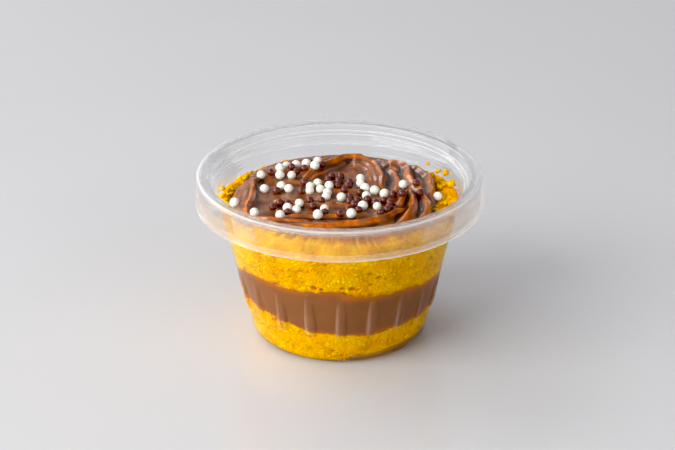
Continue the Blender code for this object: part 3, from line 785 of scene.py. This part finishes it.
def crumb_relief(points):
    """How far the crumb stands back from a smooth face, and how much painted shade its crevices and pores
    get, from 0 to 1.
    """
    relief = np.empty(len(points))
    pore_shades = np.empty(len(points))
    for index, point in enumerate(points):
        place = Vector(point)
        stirred = place / GRAIN + Vector(noise.noise_vector(place / STIR_SIZE)) * STIR
        near, next_near = noise.voronoi(stirred)[0][:2]
        crevice = max(0.0, 1 - (next_near - near) / CREVICE_WIDTH)
        region = noise.noise(place / LOOSE_SIZE + Vector(LOOSE_PLACE))
        loose = min(max(region * LOOSE_GAIN + LOOSE_LEVEL, 0.0), 1.0)
        hole_place = Vector([along / spacing for along, spacing in zip(place, HOLE_SPACING)])
        hole = max(0.0, 1 - noise.voronoi(hole_place)[0][0] / HOLE_REACH) * loose
        rough = ROUGH_DEPTH * noise.noise(place / ROUGH_SIZE) * loose
        relief[index] = max(0.0, CREVICE_DEPTH * (1 + loose) * crevice + rough)
        relief[index] += HOLE_DEPTH * min(1.0, HOLE_STEEPNESS * hole)
        # Painted shade in the crevices and holes
        shade = CREVICE_DARKNESS * crevice * (LEAST_SHADE + loose)
        pore_shades[index] = min(1.0, shade + HOLE_DARKNESS * hole)
    for angle, height, size in PORES:
        away = points - round_places(cone_radius(height), angle, height)
        share = np.clip(PORE_FULLNESS - (away ** 2 * PORE_SHAPE).sum(1) / size ** 2, 0.0, 1.0)
        relief += HOLE_DEPTH * share
        pore_shades = np.maximum(pore_shades, share)
    return relief, pore_shades


def ragged(angles, seed, height):
    """Small raggedness of a layer's edge."""
    places = round_places(RAGGED_RADIUS, angles, float(seed))
    return height * sum(share * np.array([noise.noise(Vector(place) / size) for place in places])
                        for size, share in RAGGED_NOISES)


def column_angles():
    return FRONT + np.arange(SPONGE_COLUMNS) * 360.0 / SPONGE_COLUMNS


def build_lower_sponge(material):
    """The lower cake, rounded off at its foot, most at the front right, where it clears the corner."""
    side_rows = int(LOWER_SIDE / SPONGE_ROW)
    sheet, rows, columns = turned(CHAMFER_ROWS + side_rows + 1, SPONGE_COLUMNS)
    every_angle = column_angles()
    floor = WALL - FLOOR_REACH
    cut = around(CORNER_CUT, every_angle)[columns]
    top = (filling_foot(every_angle) + ragged(every_angle, *LOWER_TOP_RAGGED))[columns]
    angles = every_angle[columns]
    climb = np.clip((rows - FILM_ROWS) / (CHAMFER_ROWS - FILM_ROWS), 0.0, 1.0)
    in_film = rows < FILM_ROWS
    share = np.clip((rows - CHAMFER_ROWS) / side_rows, 0.0, 1.0)
    start = WALL + cut
    z = np.where(rows < CHAMFER_ROWS, floor + FILM + (start - floor - FILM) * climb ** CHAMFER_RISE,
                 start + (top - start) * share)
    z = np.where(in_film, floor + FILM * rows, z)
    foot = FLOOR_RADIUS + FLOOR_REACH - CHAMFER_PULL * np.clip(cut - CHAMFER_FROM, 0.0, None)
    chamfer = foot + (face_radius(start, angles) + SPONGE_REACH - foot) * climb ** CHAMFER_BULGE
    pressed = face_radius(z, angles) + SPONGE_REACH
    radius = np.where(rows < CHAMFER_ROWS, np.minimum(pressed, chamfer), pressed)
    radius = np.where(in_film, FLOOR_RADIUS + FLOOR_REACH * (2 - rows), radius)
    relief, pore_shades = crumb_relief(round_places(radius, angles, z))
    radius = radius - np.where(in_film, 0.0, relief)
    last = rows == CHAMFER_ROWS + side_rows
    radius = np.where(last, INNER_RING * cone_radius(FILLING_MEAN_FOOT), radius)
    z = np.where(last, FILLING_MEAN_FOOT, z)
    soak = LOWER_SOAK * np.clip(1 - (top - z) / LOWER_SOAK_DEPTH, 0.0, 1.0)
    soak = np.where(in_film, FILM_SOAK, soak)
    place_round(sheet, radius, angles, z)
    close_ends(sheet)
    masks = {"pore_shade": pore_shades, "soak": soak}
    return finish_piece("sponge_lower", sheet, material, "cake_lower", masks)


def build_filling(material):
    """The filling, pressed into the ribs, and running a little behind the ragged edges of the cake."""
    side_rows = int(FILLING_SIDE / FILLING_ROW)
    sheet, rows, columns = turned(side_rows + 2, POT_COLUMNS)
    share = np.clip((rows - 1) / (side_rows - 1), 0.0, 1.0)
    plain = FRONT + columns * 360.0 / POT_COLUMNS
    low = filling_foot(plain) - FILLING_OVERLAP
    high = filling_top(plain) + FILLING_OVERLAP
    z = low + (high - low) * share
    angles = rib_column_angle(columns, z)
    radius = face_radius(z, angles) + FILLING_REACH
    from_foot = (z - low - FILLING_OVERLAP) / THIN_FOOT
    from_top = (high - FILLING_OVERLAP - z) / THIN_TOP
    thin = np.clip(1 - np.minimum(from_foot, from_top), 0.0, 1.0)
    for end, mean in ((0, FILLING_MEAN_FOOT), (side_rows + 1, FILLING_MEAN_TOP)):
        radius = np.where(rows == end, INNER_RING * cone_radius(mean), radius)
        z = np.where(rows == end, mean, z)
    place_round(sheet, radius, angles, z)
    close_ends(sheet)
    return finish_piece("chocolate_band", sheet, material, "filling", {"thin": thin})


def build_upper_sponge(material):
    """The upper cake: crumbly at its side, with a rim of crumb that stands round the frosting."""
    side_rows = int(UPPER_SIDE / SPONGE_ROW)
    lip_end = side_rows + LIP_ROWS
    sheet, rows, columns = turned(lip_end + 3, SPONGE_COLUMNS)
    every_angle = column_angles()
    angles = every_angle[columns]
    bottom = (filling_top(every_angle) + ragged(every_angle, *UPPER_FOOT_RAGGED))[columns]
    top = (CAKE_LEVEL + around(CAKE_RISE, every_angle) + ragged(every_angle, *LIP_RAGGED))[columns]
    share = np.clip((rows - 1) / (side_rows - 1), 0.0, 1.0)
    z = bottom + (top - bottom) * share
    wall = face_radius(z, angles) + SPONGE_REACH
    border = around(FROSTING_RADIUS, every_angle)[columns]
    inward = np.clip((rows - side_rows) / LIP_ROWS, 0.0, 1.0)
    radius = np.where(rows <= side_rows, wall, wall + (border - LIP_TUCK - wall) * inward)
    drop = np.clip((inward - 1 + LIP_PLACE) / LIP_PLACE, 0.0, 1.0)
    z = z + (CAKE_LEVEL - top) * drop
    relief, pore_shades = crumb_relief(round_places(radius, angles, z))
    on_lip = (rows > side_rows) & (rows <= lip_end)
    radius = np.where(on_lip, radius, radius - relief)
    z = np.where(on_lip, z - relief * LIP_RELIEF + LIP_LIFT, z)
    soak = UPPER_SOAK * np.clip(1 - (z - bottom) / UPPER_SOAK_DEPTH, 0.0, 1.0)
    warm = np.where(on_lip, LIP_WARMTH, 0.0)
    for end, ring, level in (
            (0, INNER_RING * cone_radius(FILLING_MEAN_TOP), FILLING_MEAN_TOP),
            (lip_end + 1, UNDER_RING * border, CAKE_LEVEL),
            (lip_end + 2, MIDDLE_RING * border, CAKE_MIDDLE)):
        radius = np.where(rows == end, ring, radius)
        z = np.where(rows == end, level, z)
    place_round(sheet, radius, angles, z)
    close_ends(sheet)
    masks = {"pore_shade": pore_shades, "soak": soak, "warm": warm}
    return finish_piece("sponge_upper", sheet, material, "cake_upper", masks)


# Frosting

def smooth_curve(points, samples):
    """Points along a Catmull-Rom curve through the given ones."""
    points = np.array(points, float)
    padded = np.vstack([2 * points[0] - points[1], points, 2 * points[-1] - points[-2]])
    spots = np.linspace(0, len(points) - 1, samples)
    span = np.minimum(spots.astype(int), len(points) - 2)
    t = (spots - span)[:, None]
    a, b, c, d = (padded[span + offset] for offset in range(4))
    bend = (2 * a - 5 * b + 4 * c - d) * t ** 2 + (3 * b - a - 3 * c + d) * t ** 3
    return 0.5 * (2 * b + (c - a) * t + bend)


def stroke_height(places, height, left_width, right_width, crest):
    """Height that a stroke adds, how much painted glow its crest gets, and how far each place is from its
    crest and along it.
    """
    curve = smooth_curve(crest, STROKE_SAMPLES)
    start, run = curve[:-1], np.diff(curve, axis=0)
    offset = places[:, None, :] - start[None]
    share = np.clip((offset * run).sum(2) / (run ** 2).sum(1), 0.0, 1.0)
    apart = offset - share[..., None] * run
    distance = np.hypot(apart[..., 0], apart[..., 1])
    nearest = distance.argmin(1)
    rows = np.arange(len(places))
    side = run[nearest, 0] * apart[rows, nearest, 1] - run[nearest, 1] * apart[rows, nearest, 0]
    along = (nearest + share[rows, nearest]) / (STROKE_SAMPLES - 1)
    fade = np.clip(np.minimum(along, 1 - along) / STROKE_FADE, 0.0, 1.0) ** FADE_POWER
    width = np.where(side > 0, left_width, right_width)
    away = distance[rows, nearest]
    near = np.exp(-(away / width) ** FLANK_POWER)
    starts = np.where(width < STEEP_WIDTH, *GLOW_STARTS)
    reach = np.clip(GLOW_GAIN * (near - starts) / (1 - starts), 0.0, 1.0)
    glow = reach * fade * min(1.0, height / GLOW_HEIGHT)
    length = np.hypot(run[:, 0], run[:, 1]).sum()
    return height * fade * near, glow, away, along * length


def frosting_surface(places):
    """Height of the frosting's top over an array of x and y, its crests' painted glow and its sweep lines.
    """
    angle = np.degrees(np.arctan2(places[:, 1], places[:, 0]))
    share = np.clip(np.hypot(places[:, 0], places[:, 1]) / around(FROSTING_RADIUS, angle), 0.0, 1.0)
    edge = np.clip((1 - share) / EDGE_SHARE, 0.0, 1.0)
    spots = [Vector((x, y, 0.0)) for x, y in places]
    drift = np.array([noise.noise_vector(spot / WANDER_SIZE).xy for spot in spots]) * WANDER
    strokes = [stroke_height(places + drift, *stroke) for stroke in STROKES]
    rises, glows, away, along = (np.array(column) for column in zip(*strokes))
    top = rises.argmax(0)
    rows = np.arange(len(places))
    ordered = np.sort(rises, axis=0)
    lead = np.clip((ordered[-1] - ordered[-2]) / STREAK_LEAD, 0.0, 1.0)
    sweeps = np.stack([away[top, rows], along[top, rows], top * STROKE_SHIFT], axis=1)
    streaks = []
    for width, length, depth in STREAKS:
        spread = sweeps / (width, length, 1.0)
        streaks.append(depth * lead * np.array([noise.noise(Vector(place)) for place in spread]))
    folds = sum(depth * np.array([noise.noise(spot / size) for spot in spots]) for size, depth in FOLD_SIZES)
    dome = CAKE_LEVEL + FROSTING_EDGE + FROSTING_DOME * np.sqrt(1 - share ** 2)
    patches = np.array([noise.noise(spot / GLOW_PATCH + Vector(GLOW_PLACE)) for spot in spots])
    ridged = STREAK_GLOW * np.clip(streaks[0] / STREAKS[0][2] - STREAK_GLOW_FROM, 0.0, STREAK_GLOW_MOST)
    patched = np.clip(GLOW_LEVEL + GLOW_CONTRAST * patches, GLOW_LEAST, 1.0)
    # Painted glow of light through the thin crests, the streaks' ridges and the thin border
    glow = np.maximum(glows.max(0) * patched, ridged) * edge
    border = np.clip((share - BORDER_GLOW_FROM) / (1 - BORDER_GLOW_FROM), 0.0, 1.0) ** 0.5
    glow = np.maximum(glow, border * around(BORDER_GLOW, angle))
    return dome + (rises[top, rows] + folds + sum(streaks)) * edge, glow, away[top, rows]


def hollows(heights):
    """How deep each vertex of the square grid lies under the mean of those round it, from 0 to 1, which sets
    the painted shade in the hollows.
    """
    side = FROSTING_CELLS + 1
    padded = np.pad(heights.reshape(side, side), HOLLOW_REACH, mode="edge")
    windows = np.lib.stride_tricks.sliding_window_view(padded, (2 * HOLLOW_REACH + 1, 2 * HOLLOW_REACH + 1))
    return np.clip((windows.mean((2, 3)).ravel() - heights) / HOLLOW_DEPTH, 0.0, 1.0)


def build_frosting(material):
    """The frosting: a sculpted sheet over the cake, turned down at its border."""
    sheet = bmesh.new()
    bmesh.ops.create_grid(sheet, x_segments=FROSTING_CELLS, y_segments=FROSTING_CELLS, size=1.0)
    square = np.array([vert.co.xy for vert in sheet.verts])
    x = square[:, 0] * np.sqrt(1 - square[:, 1] ** 2 / 2)
    y = square[:, 1] * np.sqrt(1 - square[:, 0] ** 2 / 2)
    border = around(FROSTING_RADIUS, np.degrees(np.arctan2(y, x)))
    places = np.stack([x, y], axis=1) * border[:, None]
    heights, crest_glow, sweep = frosting_surface(places)
    for vert, (px, py), height in zip(sheet.verts, places, heights):
        vert.co = (px, py, height)
    rim = [edge for edge in sheet.edges if edge.is_boundary]
    for drop, draw in BORDER_RINGS:
        made = bmesh.ops.extrude_edge_only(sheet, edges=rim)["geom"]
        for vert in (part for part in made if isinstance(part, bmesh.types.BMVert)):
            vert.co = (vert.co.x * draw, vert.co.y * draw, vert.co.z - drop)
        rim = [part for part in made if isinstance(part, bmesh.types.BMEdge) and part.is_boundary]
    bmesh.ops.edgeloop_fill(sheet, edges=rim)
    side = np.array([vert.co.xy for vert in sheet.verts])[len(places):]
    side_glow = around(BORDER_GLOW, np.degrees(np.arctan2(side[:, 1], side[:, 0])))
    masks = {"crest_glow": np.concatenate([crest_glow, side_glow]), "sweep": sweep, "hollow": hollows(heights)}
    return finish_piece("frosting_swirl", sheet, material, "frosting", masks)


# Pearls and crumbs

def pearl_places():
    """Seeded places of the pearls, cluster by cluster, none touching another: x, y, radius and kind."""
    draw = random.Random(PEARL_SEED)
    placed = []

    def put(x, y, diameter):
        radius = diameter / 2 * draw.uniform(1 - PEARL_VARIATION, 1 + PEARL_VARIATION)
        if all(math.hypot(x - px, y - py) > radius + pr + PEARL_CLEARANCE for px, py, pr, kind in placed):
            placed.append((x, y, radius, diameter))
            return True
        return False

    for x, y in LONE_WHITE:
        put(x, y, WHITE_PEARL)
    for x, y in LONE_BROWN:
        put(x, y, BROWN_PEARL)
    for middle_x, middle_y, spread, whites, browns in CLUSTERS:
        kinds = [WHITE_PEARL] * whites + [BROWN_PEARL] * browns
        draw.shuffle(kinds)
        for diameter in kinds:
            for _ in range(PEARL_TRIES):
                away = spread * draw.random()
                turn = math.tau * draw.random()
                if put(middle_x + away * math.cos(turn), middle_y + away * math.sin(turn), diameter):
                    break
    return placed


def pearl_rests(placed):
    """Height that each pearl rests at: the mean of the frosting's at five points under it."""
    offsets = PEARL_FOOT * np.array([(0, 0), (1, 0), (-1, 0), (0, 1), (0, -1)])
    middles = np.array([place[:2] for place in placed])
    return np.mean([frosting_surface(middles + offset)[0] for offset in offsets], axis=0)


def build_pearls(name, diameter, material):
    """All pearls of one kind as one piece, each a little out of round."""
    placed = [place for place in pearl_places() if place[3] == diameter]
    rests = pearl_rests(placed)
    heap = bmesh.new()
    for (x, y, radius, kind), rest in zip(placed, rests):
        made = bmesh.ops.create_icosphere(heap, subdivisions=4, radius=radius)["verts"]
        for vert in made:
            vert.co *= 1 + PEARL_LUMPS * noise.noise(vert.co / radius + Vector((x, y, rest)))
        bmesh.ops.translate(heap, vec=(x, y, rest + radius * (1 - 2 * PEARL_SINK)), verts=made)
    return finish_piece(name, heap, material, "frosting")


def build_crumbs(material):
    """Loose crumbs on the rim of cake round the frosting, and a few stuck to the wall above it."""
    draw = random.Random(CRUMB_SEED)
    heap = bmesh.new()
    for _ in range(CRUMB_COUNT):
        angle = draw.uniform(-180.0, 180.0)
        border = float(around(FROSTING_RADIUS, angle))
        level = CAKE_LEVEL + float(around(CAKE_RISE, angle))
        wall = cone_radius(level)
        size = draw.uniform(*CRUMB_DRAW) ** CRUMB_SKEW
        radius = border + (wall - size - border) * draw.random()
        lift = LIP_LIFT + draw.uniform(0.0, CRUMB_HEAP)
        add_crumb(heap, draw, round_places(radius, angle, level + lift), size)
    for angle, height, size in STRAY_CRUMBS:
        add_crumb(heap, draw, round_places(cone_radius(height) - size / 2, angle, height), size)
    return finish_piece("crumbs_loose", heap, material)


def add_crumb(heap, draw, place, size):
    made = bmesh.ops.create_icosphere(heap, subdivisions=2, radius=size)["verts"]
    offset = Vector([draw.uniform(0, CRUMB_SPREAD) for _ in range(3)])
    stretch = Vector([draw.uniform(low, high) for low, high in CRUMB_STRETCH])
    middle = Vector(place)
    for vert in made:
        lumpy = 1 + CRUMB_LUMPS * noise.noise(vert.co / size * CRUMB_LUMP_COUNT + offset)
        vert.co = vert.co * stretch * lumpy + middle


# Set

def build_floor(material):
    sheet = bmesh.new()
    bmesh.ops.create_grid(sheet, x_segments=1, y_segments=1, size=FLOOR_HALF)
    mesh = bpy.data.meshes.new("floor")
    sheet.to_mesh(mesh)
    sheet.free()
    mesh.materials.append(material)
    floor = bpy.data.objects.new("floor", mesh)
    bpy.context.scene.collection.objects.link(floor)


def area_light(name, place, aim, size, power, color):
    """A panel of light that points at a height over the pot's middle and is not itself in the picture."""
    data = bpy.data.lights.new(name, "AREA")
    data.shape = "RECTANGLE"
    data.size, data.size_y = size
    data.energy = power
    data.color = color
    light = bpy.data.objects.new(name, data)
    light.location = place
    light.visible_camera = False
    light.rotation_euler = (Vector((0.0, 0.0, aim)) - Vector(place)).to_track_quat("-Z", "Y").to_euler()
    bpy.context.scene.collection.objects.link(light)


def build_set():
    build_floor(floor_finish())
    scene = bpy.context.scene
    scene.view_settings.view_transform = "Standard"
    scene.view_settings.use_curve_mapping = True
    scene.view_settings.curve_mapping.black_level = (BLACK_LEVEL, BLACK_LEVEL, BLACK_LEVEL)
    world = bpy.data.worlds.new("studio")
    scene.world = world
    world.use_nodes = True
    tree = world.node_tree
    spot = node(tree, "ShaderNodeTexCoord")
    axes = node(tree, "ShaderNodeSeparateXYZ")
    tree.links.new(spot.outputs["Generated"], axes.inputs[0])
    ramp = feed(tree, node(tree, "ShaderNodeMapRange"), Value=axes.outputs["X"], From_Min=-1.0,
                From_Max=1.0)
    sky = blend(tree, ramp.outputs[0], WORLD_LEFT, WORLD_RIGHT)
    feed(tree, tree.nodes["Background"], Color=sky, Strength=WORLD_STRENGTH)
    for light in LIGHTS:
        area_light(*light)
    elevation = math.radians(CAMERA_ELEVATION)
    data = bpy.data.cameras.new("camera")
    data.lens = LENS
    data.sensor_width = SENSOR
    camera = bpy.data.objects.new("camera", data)
    camera.location = (CAMERA_SIDE * MM, -CAMERA_DISTANCE * MM * math.cos(elevation),
                       (LOOK_HEIGHT + CAMERA_DISTANCE * math.sin(elevation)) * MM)
    camera.rotation_euler = (math.radians(90.0 - CAMERA_ELEVATION), 0.0, 0.0)
    scene.collection.objects.link(camera)
    scene.camera = camera


def main():
    noise.seed_set(NOISE_SEED)
    crumb = sponge()
    build_pot(clear_plastic())
    build_lower_sponge(crumb)
    build_filling(chocolate_filling())
    build_upper_sponge(crumb)
    build_frosting(chocolate_frosting())
    build_pearls("pearls_white", WHITE_PEARL,
                 pearl_finish("white_pearl", *WHITE_SHELL))
    build_pearls("pearls_brown", BROWN_PEARL,
                 pearl_finish("brown_pearl", *BROWN_SHELL))
    build_crumbs(crumb)
    build_set()


main()
